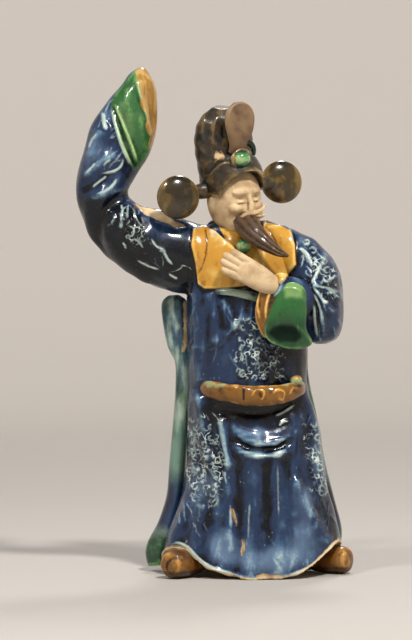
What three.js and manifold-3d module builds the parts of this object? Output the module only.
// A glazed stoneware roof ridge figure: a bearded official in a winged hat and a
// long robe, one sleeve thrown up beside the head and the other hand laid on the
// chest. It is one fired piece of clay, hollow and open under the skirt, where two
// legs in round-toed shoes stand inside the hem.
// Millimetres. +Z is up, -Y is the front, +X is the viewer's right from the front.
import * as THREE from 'three';
import { mergeVertices } from 'three/addons/utils/BufferGeometryUtils.js';
import Module from 'manifold-3d';

const wasm = await Module();
wasm.setup();

// Driving dimensions
const figureHeight = 280; // ground to the tip of the raised sleeve
const robeWall = 6.5; // clay of the hollow skirt
const cavityHeight = 74; // how far the hollow reaches up inside the skirt
const collarProud = 2.6; // the yoke stands this far off the robe
const beltHeight = 9.8; // face of the hoop belt
const beltThickness = 5.8;
const wingRadius = 11.8; // round ears of the hat
const wingThickness = 10;
const wingStem = 3.4; // radius of the stem that carries an ear
const plaqueWidth = 19; // upright plaque in front of the crown
const plaqueThickness = 4.4;
const jewelRadius = 4.8; // green boss on the hat's front
const beadRadius = 4; // green button at the collar
const cuffThickness = 7; // green hanging cuff
const liningThickness = 5; // ochre lining behind it
const fingerRadius = 2.2;
const shoeRadius = 7.7;
const legRadius = 6.4;
const sidePanelThickness = 9; // stiff panels behind the robe's two sides

// The pose and the free form are proportions of the height, written as they measure in
// a drawing of the figure 275 high, whose ground line is at 5.
const scale = figureHeight / 275;
const share = (value) => value * scale;
const point = (x, y, z) => new THREE.Vector3(x, y, z).multiplyScalar(scale);
const shareRows = (rows) => rows.map((row) => row.map(share));
const ground = share(5);

// Solids

function toSolid(geometry) {
  const bare = geometry.clone();
  bare.deleteAttribute('normal');
  bare.deleteAttribute('uv');
  const merged = mergeVertices(bare, 1e-4);
  const positions = merged.attributes.position.array;
  const triangles = Uint32Array.from(merged.index.array);
  if (signedVolume(positions, triangles) < 0) {
    for (let i = 0; i < triangles.length; i += 3) {
      [triangles[i], triangles[i + 1]] = [triangles[i + 1], triangles[i]];
    }
  }
  const mesh = new wasm.Mesh({
    numProp: 3,
    vertProperties: Float32Array.from(positions),
    triVerts: triangles,
  });
  return new wasm.Manifold(mesh);
}

function signedVolume(positions, triangles) {
  let sum = 0;
  const [a, b, c] = [new THREE.Vector3(), new THREE.Vector3(), new THREE.Vector3()];
  for (let i = 0; i < triangles.length; i += 3) {
    a.fromArray(positions, triangles[i] * 3);
    b.fromArray(positions, triangles[i + 1] * 3);
    c.fromArray(positions, triangles[i + 2] * 3);
    sum += a.dot(b.cross(c));
  }
  return sum / 6;
}

function toGeometry(solid) {
  const mesh = solid.getMesh();
  const positions = new Float32Array(mesh.numVert * 3);
  for (let i = 0; i < mesh.numVert; i++) {
    for (let k = 0; k < 3; k++) {
      positions[i * 3 + k] = mesh.vertProperties[i * mesh.numProp + k];
    }
  }
  const geometry = new THREE.BufferGeometry();
  geometry.setAttribute('position', new THREE.BufferAttribute(positions, 3));
  geometry.setIndex(new THREE.BufferAttribute(Uint32Array.from(mesh.triVerts), 1));
  geometry.computeVertexNormals();
  return geometry;
}

const joined = (solids) => solids.reduce((whole, next) => whole.add(next));

// A smooth (Catmull-Rom) reading of a table, with t from 0 at its first row to 1.
function rowAt(rows, t) {
  const spot = Math.min(Math.max(t, 0), 1) * (rows.length - 1);
  const i = Math.min(Math.floor(spot), rows.length - 2);
  const f = spot - i;
  const before = rows[Math.max(i - 1, 0)];
  const after = rows[Math.min(i + 2, rows.length - 1)];
  return rows[i].map((from, k) => {
    const to = rows[i + 1][k];
    const leave = (to - before[k]) / 2;
    const arrive = (after[k] - from) / 2;
    return (
      from +
      leave * f +
      (3 * (to - from) - 2 * leave - arrive) * f * f +
      (2 * (from - to) + leave + arrive) * f * f * f
    );
  });
}

// A ball whose rings are put where place says. It gets t from 0 at the first ring to 1
// at the last, the angle round the ring, and how far it is from pole to pole.
function ringed(sides, rings, place) {
  const geometry = new THREE.SphereGeometry(1, sides, rings + 1);
  const { position, uv } = geometry.attributes;
  for (let i = 0; i < position.count; i++) {
    const through = 1 - uv.getY(i);
    const ring = Math.round(through * (rings + 1));
    const t = Math.min(Math.max((ring - 1) / (rings - 1), 0), 1);
    const angle = (Math.round(uv.getX(i) * sides) % sides) * ((Math.PI * 2) / sides);
    const atPole = ring === 0 || ring === rings + 1;
    const spot = place(t, angle, atPole, through);
    position.setXYZ(i, spot.x, spot.y, spot.z);
  }
  return toSolid(geometry);
}

// Horizontal sections stacked up. A row is height, centre across, half width, and how
// far it reaches to the front and to the back of y = centreY. Crowd draws the sides
// together at the front, where the folds are.
function stacked(rows, { sides, rings, centreY = 0, relief = () => 0, foot, crowd = 0 }) {
  return ringed(sides, rings, (t, turn, atPole) => {
    const [z, centre, half, front, back] = rowAt(rows, t);
    if (atPole) return new THREE.Vector3(centre, centreY, z);
    const angle = turn - crowd * Math.cos(turn);
    const [c, s] = [Math.cos(angle), Math.sin(angle)];
    const deep = s < 0 ? front : back;
    const height = foot ? Math.max(z, foot(angle) * (1 - t * t)) : z;
    const out = relief(centre + half * c, height, s);
    return new THREE.Vector3(centre + (half + out) * c, centreY + (deep + out) * s, height);
  });
}

// A limb along a path. A row is x, y, z, half size across and half size deep, and
// facing is the direction that its depth is measured along.
function limb(rows, { sides, rings, facing = new THREE.Vector3(0, 1, 0), relief = () => 0 }) {
  const spot = (t) => new THREE.Vector3(...rowAt(rows, t).slice(0, 3));
  const step = 0.01;
  return ringed(sides, rings, (t, angle, atPole) => {
    const [x, y, z, across, deep] = rowAt(rows, t);
    const centre = new THREE.Vector3(x, y, z);
    if (atPole) return centre;
    const along = spot(Math.min(t + step, 1)).sub(spot(Math.max(t - step, 0))).normalize();
    const side = facing.clone().cross(along).normalize();
    const back = along.clone().cross(side);
    const out = relief(t, angle);
    return centre
      .addScaledVector(side, (across + out) * Math.cos(angle))
      .addScaledVector(back, (deep + out) * Math.sin(angle));
  });
}

// A cushion with the given outline in the front view, bellied out to the front.
function cushion(outline, { y, thickness, belly, sides = 20, rings = 6 }) {
  const loop = new THREE.CatmullRomCurve3(outline.map(([x, z]) => point(x, 0, z)), true);
  const box = new THREE.Box3().setFromPoints(loop.getPoints(60));
  const middle = box.getCenter(new THREE.Vector3());
  return ringed(sides, rings, (t, angle, atPole, through) => {
    const reach = atPole ? 0 : Math.sin(Math.PI * through) ** 0.75;
    const spot = loop.getPoint(angle / (Math.PI * 2)).sub(middle).multiplyScalar(reach);
    const side = -Math.cos(Math.PI * through);
    const swell = share(belly) * (1 - reach * reach);
    return spot.add(middle).setY(share(y) + (side * thickness) / 2 - swell);
  });
}

function lump(centre, radii, turn = new THREE.Euler(), sides = 16, rings = 10) {
  const matrix = new THREE.Matrix4().compose(
    centre,
    new THREE.Quaternion().setFromEuler(turn),
    radii,
  );
  return toSolid(new THREE.SphereGeometry(1, sides, rings).applyMatrix4(matrix));
}

// A closed outline in the front view, pushed back from y = near to y = far.
function prism(outline, near, far) {
  const shape = new THREE.Shape();
  const loop = new THREE.CatmullRomCurve3(outline.map(([x, z]) => point(x, 0, z)), true);
  loop.getPoints(outline.length * 2).slice(1).forEach((p, i) => {
    if (i === 0) shape.moveTo(p.x, p.z);
    else shape.lineTo(p.x, p.z);
  });
  const options = { depth: share(far - near), bevelEnabled: false };
  const geometry = new THREE.ExtrudeGeometry(shape, options);
  geometry.rotateX(Math.PI / 2);
  geometry.translate(0, share(far), 0);
  return toSolid(geometry);
}

// Drapery is drawn in the front view. A straight ridge is [x, z, x, z, half width,
// height], and a hanging swag is [x, z, x, z, sag, half width, height].

function ridgeAt([x0, z0, x1, z1, width, height], x, z) {
  const [dx, dz] = [x1 - x0, z1 - z0];
  const along = ((x - x0) * dx + (z - z0) * dz) / (dx * dx + dz * dz);
  const t = Math.min(Math.max(along, 0), 1);
  const away = Math.hypot(x - x0 - dx * t, z - z0 - dz * t);
  return height * Math.exp(-((away / width) ** 2));
}

function swagAt([x0, z0, x1, z1, sag, width, height], x, z) {
  const u = (x - x0) / (x1 - x0);
  if (u <= 0 || u >= 1) return 0;
  const line = z0 + (z1 - z0) * u - sag * 4 * u * (1 - u);
  return height * Math.sqrt(Math.sin(u * Math.PI)) * Math.exp(-(((z - line) / width) ** 2));
}

const drapery = (ridges, swags = []) => (x, z) =>
  ridges.reduce((sum, r) => sum + ridgeAt(r, x, z), 0) +
  swags.reduce((sum, s) => sum + swagAt(s, x, z), 0);

// Folds that fade out as the surface turns away from the front.
const facingFolds = (folds) => (x, z, s) => (s > 0 ? 0 : folds(x, z) * Math.min(-s * 2, 1));

// The skirt

const skirtTop = 114;
const skirtRows = shareRows([
  [5, 19.5, 49.4, 36, 22],
  [15, 19.7, 49, 34.8, 21.8],
  [26, 20.6, 47.2, 32.4, 21.2],
  [38, 21.4, 43.4, 30, 20.6],
  [52, 21.7, 39.4, 28, 20],
  [68, 21.3, 37, 26.6, 19.6],
  [84, 20.6, 35.8, 25.6, 19.2],
  [100, 18.2, 33.6, 24.4, 19],
  [skirtTop, 17.4, 31.5, 22.5, 18.6],
]);

// Height of the hem every 15 degrees, from the right side round the back. It dips to
// the ground at the back and at the middle of the front, and rises over the shoes.
const hemHeights = [
  22, 17, 11, 6, 5, 5, 5, 5, 5, 5, 6, 11,
  15, 19, 21, 20.5, 11, 7, 5, 5, 7.5, 14, 22, 24,
].map(share);

function hemAt(angle) {
  const count = hemHeights.length;
  const spot = ((angle / (Math.PI * 2)) * count + count) % count;
  const i = Math.floor(spot);
  const next = hemHeights[(i + 1) % count];
  return hemHeights[i] + (next - hemHeights[i]) * (spot - i);
}

const skirtFolds = drapery(
  shareRows([
    [-8, 100, -2, 70, 4.2, 2.4], // left front panel
    [-2, 70, 2, 40, 3.6, 1.8],
    [3, 88, 8, 66, 2.6, 2.6], // pleats under the swags
    [7, 66, 9, 22, 3.2, 1.9],
    [18, 62, 18, 16, 3.4, 1.8],
    [33, 72, 34, 30, 3, 1.9],
    [43, 92, 42, 56, 3, 2.4],
    [42, 56, 52, 34, 3.4, 2.2],
    [52, 96, 57, 52, 4, 2],
    [-14, 44, -22, 26, 4, 2.2],
    [-6, 42, -10, 20, 3.6, 2],
    [48, 30, 60, 24, 4, 1.4],
    [13, 58, 13, 24, 2.6, -1.8], // valleys between them
    [27, 60, 26, 26, 3.4, -1.8],
  ]),
  shareRows([
    [8, 86, 43, 84, 7.5, 2.6, 3.4],
    [8, 76, 42, 75.5, 5, 2.8, 3],
    [10, 81, 41, 80, 7, 2.2, -1.8],
  ]),
);

// Plain soft pleats run down the back.
const pleatDepth = 1.3;
const pleatSpacing = 29;
const backPleat = (x) => share(pleatDepth) * Math.cos((x * Math.PI * 2) / share(pleatSpacing));

function skirtRelief(x, z, s) {
  if (s > 0) return backPleat(x) * Math.min(s * 1.6, 1);
  return skirtFolds(x, z) * Math.min(-s * 2.2, 1);
}

function skirt() {
  const outside = stacked(skirtRows, {
    sides: 48,
    rings: 15,
    relief: skirtRelief,
    foot: hemAt,
    crowd: 0.42,
  });
  const roof = ground + cavityHeight;
  const inside = skirtRows
    .filter((row) => row[0] < roof)
    .map(([z, centre, half, front, back], i) => {
      const height = i === 0 ? z - robeWall : z;
      return [height, centre, half - robeWall, front - robeWall, back - robeWall];
    });
  const [, centre, half, front, back] = rowAt(skirtRows, roof / share(skirtTop));
  inside.push([roof, centre, half * 0.5, front * 0.45, back * 0.4]);
  return outside.subtract(stacked(inside, { sides: 16, rings: 4 }));
}

// The torso

const torsoRows = shareRows([
  [96, 17.8, 33, 25, 20],
  [108, 17.4, 32.2, 24.4, 19.4],
  [124, 17.3, 32.6, 25, 19],
  [142, 17, 32.8, 24.6, 19],
  [158, 16.6, 32, 23.4, 18.6],
  [172, 16, 30.4, 21.6, 17.6],
  [183, 15.4, 28.2, 18.6, 15.6],
  [191, 14.4, 24, 14, 12.6],
  [196, 13.4, 15, 9, 9],
]);

const torsoFolds = drapery(
  shareRows([
    [-12, 174, -8, 128, 3, 2], // pull of the cloth under the raised arm
    [-3, 156, 1, 134, 2.6, 1.5],
    [4, 154, 10, 140, 2.2, 1.4],
    [0, 132, 16, 144, 2.2, 1.3],
    [-10, 128, -8, 112, 3, 1.6],
  ]),
);

function torso(proud = 0) {
  const rows = torsoRows.map(([z, centre, half, front, back]) => [
    z, centre, half + proud, front + proud, back + proud,
  ]);
  rows[rows.length - 1][0] += proud;
  const relief = facingFolds(torsoFolds);
  return stacked(rows, { sides: 24, rings: 9, crowd: 0.25, relief });
}

// The yoke is a second skin over the chest and shoulders, in two lappets that leave
// the throat open, and a band carries it round the back of the neck.
const yokeLeft = [
  [-12.5, 190], [-12.5, 178], [-10.5, 166], [-7, 160.5], [4, 159.8], [17, 161.4],
  [24, 165], [20, 173], [11, 182], [3, 190], [-4, 197],
];
const yokeRight = [
  [25, 198], [34, 197], [42, 192], [44, 182], [42, 171], [36, 163], [29, 160.5], [24.5, 170],
  [22.5, 184],
];
const yokeBack = [[-11, 188], [-8, 180], [14, 174], [38, 180], [42, 188], [30, 198], [0, 198]];

function yoke() {
  const skin = torso(collarProud);
  const fronts = [yokeLeft, yokeRight].map((outline) => skin.intersect(prism(outline, -60, -2)));
  return [...fronts, skin.intersect(prism(yokeBack, -2, 60))];
}

// The raised arm

const sleeveRows = shareRows([
  [14, 0, 178, 12, 12],
  [-6, 0, 176, 18.6, 14.5],
  [-22, -1, 178.4, 19.8, 15.5],
  [-37, -2, 185, 19.2, 15.2],
  [-50.5, -3, 192, 16.6, 14.5],
  [-60, -4, 203, 15, 13.6],
  [-61.4, -4.5, 216, 14.2, 13],
  [-56.4, -5, 230, 16, 13.4],
  [-50.6, -5.5, 243, 17.6, 13.4],
  [-45.4, -6, 256, 14.6, 12.4],
  [-42, -6, 267, 10.4, 10],
  [-40.6, -5, 275, 6.4, 7],
  [-40, -4, 279.6, 2.2, 2.6],
]);

// Folds wrung round it: [along, turn, half width along, half width round, height].
const sleeveFolds = [
  [0.3, 4.2, 0.035, 0.9, 1.6],
  [0.36, 4.9, 0.03, 0.8, 1.5],
  [0.43, 3.4, 0.04, 0.9, -1.8],
  [0.48, 5.2, 0.03, 0.7, 1.6],
  [0.54, 4.5, 0.03, 0.8, 1.4],
  [0.6, 4.9, 0.03, 0.8, 1.4],
  [0.66, 4.3, 0.03, 0.8, 1.2],
];

function sleeveRelief(t, angle) {
  const sum = sleeveFolds.reduce((total, [along, turn, wide, round, height]) => {
    const a = (t - along - (angle - turn) * 0.03) / wide;
    const b = (angle - turn) / round;
    return total + height * Math.exp(-a * a - b * b);
  }, 0);
  return share(sum);
}

// The mouth of the sleeve opens to the front right, and is hollowed out.
const mouthRows = shareRows([
  [-38.4, -11, 276, 0.8, 1],
  [-36, -13, 270, 3.4, 5],
  [-33.6, -14, 260, 4.8, 7],
  [-31.4, -13, 248, 4.2, 7],
  [-31, -11, 238, 2.8, 5],
  [-32, -9, 230, 0.8, 1.4],
]);

function raisedSleeve() {
  const sleeve = limb(sleeveRows, { sides: 18, rings: 18, relief: sleeveRelief });
  const facing = new THREE.Vector3(0.7, 0.7, 0);
  return sleeve.subtract(limb(mouthRows, { sides: 10, rings: 6, facing }));
}

// The bent arm

const bagRows = shareRows([
  [130, 57, 3, 5, 2],
  [133, 57.6, 8.4, 12, 5],
  [141, 56, 13, 19, 9],
  [150, 54.6, 15, 22, 11.4],
  [160, 53.6, 15.6, 21.6, 12.2],
  [169, 51.4, 15.8, 19.6, 12.4],
  [178, 46.4, 15.8, 16, 12],
  [187, 39, 14, 12, 10.4],
  [193, 31, 9, 8, 8],
]);

// Folds spread from the crook of the elbow.
const bagFolds = drapery(
  shareRows([
    [53, 160, 66, 156, 1.9, 1.8],
    [53, 162, 65, 167, 1.9, 1.8],
    [53, 164, 58, 178, 1.9, 1.6],
    [54, 157, 62, 148, 1.9, 1.7],
    [57, 152, 58, 136, 2, 1.2],
  ]),
);

const forearmRows = shareRows([
  [58, -10, 152, 8, 7],
  [50, -18, 154, 9.4, 8],
  [40, -27, 158, 8.4, 7],
  [32, -32, 161.5, 6.4, 5],
]);

function bentArm() {
  const relief = facingFolds(bagFolds);
  const options = { sides: 20, rings: 9, centreY: share(-3), crowd: 0.25, relief };
  return [stacked(bagRows, options), limb(forearmRows, { sides: 8, rings: 4 })];
}

// The sleeve's hanging end: a green sheet in front, and its lining behind and beside it.
const cuffOutline = [
  [35, 160.5], [41, 163.4], [47.6, 159.6], [48.6, 149], [48.4, 139], [51.6, 131],
  [46, 127.8], [39, 127.4], [32, 129.8], [27, 134.6], [26.6, 141], [30, 151],
];
const liningOutline = [
  [27.6, 166], [36, 167], [40, 158], [37, 146], [33, 136], [26.4, 133.6], [22.2, 140.4],
  [21, 148], [23.2, 157.6],
];
const hangerRows = shareRows([
  [47, -13, 157, 7, 6],
  [43, -24, 149, 6, 8],
  [40, -31, 142, 5, 6],
]);

function cuff() {
  const green = cushion(cuffOutline, { y: -34.4, thickness: cuffThickness, belly: 1.6 });
  const lining = cushion(liningOutline, { y: -31, thickness: liningThickness, belly: 0.6 });
  return [green, lining, limb(hangerRows, { sides: 8, rings: 3 })];
}

// The hand lies flat on the chest, its fingers towards the raised arm.
const fingerCount = 4;
const knuckles = [16.6, -31.6, 169.2];
const fingertips = [2.6, -28.6, 177.2];
const acrossHand = new THREE.Vector3(0.5, 0, 0.866);
const handRows = shareRows([
  [33, -32, 160.2, 4.2, 3],
  [27.5, -33.6, 163, 6, 3.6],
  [20, -32.6, 167.4, 6.9, 3.3],
  [13, -31, 171.4, 6.6, 2.8],
]);

function finger(index) {
  const side = (index - (fingerCount - 1) / 2) * fingerRadius * 1.62;
  const reach = 1 - Math.abs(index - 1.6) * 0.16;
  const root = point(...knuckles);
  const tip = root.clone().lerp(point(...fingertips), reach).addScaledVector(acrossHand, side);
  root.addScaledVector(acrossHand, side * 0.92);
  const bend = root.clone().lerp(tip, 0.55).add(point(0, -1.4, 0));
  const last = tip.clone().lerp(bend, 0.15);
  const rows = [
    [...root, fingerRadius, fingerRadius],
    [...bend, fingerRadius, fingerRadius],
    [...last, fingerRadius * 0.85, fingerRadius * 0.85],
    [...tip, fingerRadius * 0.3, fingerRadius * 0.3],
  ];
  return limb(rows, { sides: 6, rings: 5 });
}

function hand() {
  const fingers = Array.from({ length: fingerCount }, (_, index) => finger(index));
  return [limb(handRows, { sides: 10, rings: 5 }), ...fingers];
}

// The head has a frame of its own, with the face towards -Y, and is placed and turned
// as one.
const headTurn = new THREE.Euler(0.14, -0.14, 0.56, 'ZYX');
const headFrame = new THREE.Matrix4().compose(
  point(10.5, -6, 208),
  new THREE.Quaternion().setFromEuler(headTurn),
  new THREE.Vector3(1, 1, 1),
);
const headFacing = new THREE.Vector3(0, 1, 0).transformDirection(headFrame);
const onHead = (x, y, z) => point(x, y, z).applyMatrix4(headFrame);
const headLump = ([x, y, z], radii, sides, rings) =>
  lump(onHead(x, y, z), point(...radii), headTurn, sides, rings);
const headRows = (rows) =>
  rows.map(([x, y, z, across, deep]) => [...onHead(x, y, z), share(across), share(deep)]);
const headLimb = (rows, sides, rings) =>
  limb(headRows(rows), { sides, rings, facing: headFacing });

function head() {
  const noseRows = [
    [0, -13, 7, 1.4, 1.2],
    [0, -16, 1, 1.9, 1.8],
    [0, -17.4, -3.2, 3, 2.2],
    [0, -15.4, -5, 2, 1.2],
  ];
  const both = [-1, 1];
  return [
    headLump([0, 1, 1], [14.2, 16, 20], 14, 9),
    headLump([0, -5.5, -9], [10.6, 10, 10.4], 10, 7),
    headLimb([[0, 4, -6, 9, 9], [0, 3, -18, 9, 9], [0, 3, -26, 11, 10]], 8, 3),
    headLimb(noseRows, 6, 5),
    headLump([0, -11.6, 6.4], [9, 3.6, 2.6], 10, 5),
    ...both.map((side) => headLump([side * 6, -9.8, -2.4], [4.6, 4.6, 4], 8, 5)),
    ...both.map((side) => headLump([side * 13.6, 1.5, -1], [2.2, 3.6, 5], 6, 5)),
  ];
}

// The turn of the head swings the beard out to the right, in a horn.
const beardRows = shareRows([
  [14.4, -14, 200, 4, 4],
  [17.6, -20, 196.6, 5.2, 4.8],
  [20.6, -26, 191.6, 5, 4.6],
  [24.2, -30, 186.6, 4.4, 4.2],
  [29, -31.4, 182, 3.4, 3.4],
  [34, -31, 179, 2.3, 2.6],
  [39, -30, 177.2, 0.8, 1],
]);
const moustacheRows = shareRows([
  [11, -22.4, 193.6, 1.4, 1.8],
  [14.6, -25.6, 196.6, 1.8, 2],
  [19.6, -26.6, 198.2, 1.7, 2.2],
  [25, -22.4, 199.8, 1.6, 1.8],
  [28.4, -18.4, 200.6, 0.7, 0.8],
]);

const whiskers = () => [
  limb(beardRows, { sides: 8, rings: 8 }),
  limb(moustacheRows, { sides: 6, rings: 7 }),
];

// The hat: a low front over the brow, a tall crown behind it, a plaque, a jewel, and a
// round ear on a stem at each side.

const bandRows = [
  [0, 0.5, 5, 15.8, 17],
  [0, 0.8, 12, 16.2, 17.8],
  [-0.4, 1.6, 18, 14.8, 15.8],
  [-0.8, 2.6, 24, 12, 12],
  [-1, 3.4, 28, 8, 8],
];
const crownRows = [
  [-0.6, 6, 4, 14.6, 11],
  [-1.4, 6, 14, 15.4, 12],
  [-2.2, 5.4, 26, 16.8, 11.8],
  [-2.6, 4.8, 37, 16.8, 11],
  [-2.4, 4.2, 45, 13.4, 9],
  [-2.2, 3.8, 50.6, 6.4, 5],
];
const plaqueRows = [
  [-2, -7.6, 28, 0.6, 1.2],
  [-2.2, -9.8, 32, 0.64, 1],
  [-2.2, -11.2, 38, 0.86, 1],
  [-2.2, -11.4, 45, 1, 1],
  [-2.2, -11, 51, 0.8, 0.9],
  [-2.2, -10.6, 54.6, 0.3, 0.5],
];

function hat() {
  const band = headLimb(bandRows, 16, 7);
  const crown = headLimb(crownRows, 16, 8);
  const faceRoom = headLump([0, -16, -1], [17, 19, 18.4], 14, 9);
  const rib = headLimb([[-2, -3, 24, 4, 6], [-2.2, -5, 33, 3.4, 6], [-2.2, -6, 41, 2.4, 5.4]], 6, 3);
  return [band.add(crown).subtract(faceRoom), rib];
}

function plaque() {
  const [half, deep] = [plaqueWidth / 2, plaqueThickness / 2];
  const rows = plaqueRows.map(([x, y, z, across, thick]) => [
    ...onHead(x, y, z), across * half, thick * deep,
  ]);
  return limb(rows, { sides: 12, rings: 7, facing: headFacing });
}

const jewel = () =>
  lump(
    onHead(-2.4, -12.6, 24),
    new THREE.Vector3(jewelRadius, jewelRadius * 0.8, jewelRadius * 0.9),
    headTurn, 10, 6,
  );

const wingSpots = [[-33, 5, 5], [34.2, 5, 5.4]];

function wing(spot) {
  const middle = onHead(...spot);
  const outward = Math.sign(spot[0]);
  const radii = new THREE.Vector3(wingRadius, wingThickness / 2, wingRadius);
  const disc = lump(middle, radii, new THREE.Euler(0, 0, 0.25), 14, 7);
  const root = onHead(outward * 12, 6, 7);
  const inner = middle.clone().lerp(root, 0.3);
  const rows = [
    [...root, wingStem * 1.5, wingStem * 1.5],
    [...inner, wingStem, wingStem],
    [...middle, wingStem * 0.8, wingStem * 0.8],
  ];
  return disc.add(limb(rows, { sides: 6, rings: 4 }));
}

const bead = () =>
  lump(point(15.2, -21.6, 182.8), new THREE.Vector3().setScalar(beadRadius), undefined, 8, 6);

// The hoop belt stands clear of the belly, and shows only at the front.
const beltPath = [
  [-6.4, -13, 106.4, 0.8],
  [-2.8, -21, 105.8, 0.94],
  [7, -28.2, 104.2, 1],
  [20, -32.6, 102.8, 1.1],
  [34.6, -30, 103.6, 1.04],
  [43.4, -22.4, 105.8, 0.9],
  [46.6, -13, 106.6, 0.76],
];

function belt() {
  const rows = beltPath.map(([x, y, z, k]) => [
    ...point(x, y, z), (k * beltThickness) / 2, (k * beltHeight) / 2,
  ]);
  const hoop = limb(rows, { sides: 8, rings: 14, facing: new THREE.Vector3(0, 0, 1) });
  return [hoop, lump(point(43.4, -22.5, 110.6), point(3.4, 3.2, 3), undefined, 6, 5)];
}

// The end of a ribbon hangs from under the yoke.
const ribbonRows = shareRows([
  [0, -23.4, 158.4, 1.6, 2],
  [9, -25.4, 158, 2, 2.2],
  [19, -25.4, 156, 2.4, 2.4],
  [25, -24.4, 154, 1.8, 1.8],
]);

// A stiff panel stands behind each side of the robe, from the ribs to the hem. A row's
// last number is a share of the panel's thickness.
const leftPanel = [
  [-23, 4, 156.6, 3, 0.4],
  [-22.6, 4, 152.6, 7, 0.9],
  [-21, 5, 142, 7.8, 1],
  [-19.4, 6, 130, 7, 1],
  [-16.8, 7, 120, 4.8, 1],
  [-16, 8, 106, 4.6, 1.1],
  [-15.4, 9, 93, 5, 1.2],
  [-16.4, 10, 78, 5, 1.3],
  [-18, 11, 62, 5, 1.4],
  [-20.4, 12, 46, 5, 1.5],
  [-26.4, 13, 30, 5.6, 1.5],
  [-31, 13, 17, 7.4, 1.4],
  [-30.4, 13, 8.6, 6.6, 1.2],
];
const rightPanel = [
  [45, 6, 150, 3, 0.8],
  [45.4, 8, 132, 5, 1],
  [46, 9, 112, 5, 1.1],
  [51, 10, 88, 5, 1.2],
  [55.4, 11, 64, 5, 1.3],
  [60.4, 12, 44, 5, 1.4],
  [64.4, 12, 28, 5, 1.3],
  [65, 12, 20, 3.6, 1],
];

function sidePanel(panel, rings) {
  const rows = panel.map(([x, y, z, across, thick]) => [
    ...point(x, y, z), share(across), (thick * sidePanelThickness) / 2,
  ]);
  return limb(rows, { sides: 8, rings });
}

// A leg goes from the toe back to the heel and up to the roof of the hollow.
function leg(toeAt, heelAt, topAt) {
  const lift = ground + shoeRadius;
  const roof = ground + cavityHeight + robeWall / 2;
  const toe = point(...toeAt, 0).setZ(lift);
  const heel = point(...heelAt, 0).setZ(lift);
  const top = point(...topAt, 0).setZ(roof);
  const ahead = toe.clone().sub(heel).normalize();
  const ball = toe.clone().addScaledVector(ahead, -shoeRadius);
  const blunt = toe.clone().addScaledVector(ahead, -shoeRadius * 0.22);
  const sole = ball.clone().lerp(heel, 0.6);
  const shoeRows = [
    [...toe, shoeRadius * 0.5, shoeRadius * 0.5],
    [...blunt, shoeRadius * 0.86, shoeRadius * 0.86],
    [...ball, shoeRadius, shoeRadius],
    [...sole, shoeRadius * 0.86, shoeRadius * 0.94],
    [...heel, shoeRadius * 0.6, shoeRadius * 0.7],
  ];
  const ankle = ball.clone().lerp(heel, 0.7);
  const shin = ankle.clone().lerp(top, 0.35);
  const shaftRows = [
    [...ankle, legRadius * 0.8, legRadius * 0.8],
    [...shin, legRadius, legRadius],
    [...top, legRadius * 1.1, legRadius * 1.1],
  ];
  const shoe = limb(shoeRows, { sides: 12, rings: 7, facing: new THREE.Vector3(0, 0, 1) });
  return shoe.add(limb(shaftRows, { sides: 7, rings: 3 }));
}

const legs = () => [
  leg([-25, -33], [-8, -10], [2, 0]),
  leg([73, -5], [50, 8], [38, 1]),
];

// Everything is one piece of clay, and its lowest rim stands on the ground.
const figureSolid = joined([
  skirt(), ...legs(), torso(), sidePanel(leftPanel, 13), sidePanel(rightPanel, 8),
  raisedSleeve(), ...bentArm(), ...yoke(), ...cuff(), ...hand(),
  limb(ribbonRows, { sides: 6, rings: 5 }), ...belt(), ...head(), ...whiskers(), ...hat(),
  plaque(), jewel(), ...wingSpots.map(wing), bead(),
]);

const geometry = toGeometry(figureSolid);
geometry.computeBoundingBox();
const box = geometry.boundingBox;
geometry.translate(-(box.min.x + box.max.x) / 2, -(box.min.y + box.max.y) / 2, -box.min.z);

const glaze = new THREE.MeshStandardMaterial({ color: 0x1d2c4c, roughness: 0.22, metalness: 0 });
const official = new THREE.Mesh(geometry, glaze);
official.name = 'official_figure';

const figure = new THREE.Group();
figure.add(official);

export default figure;
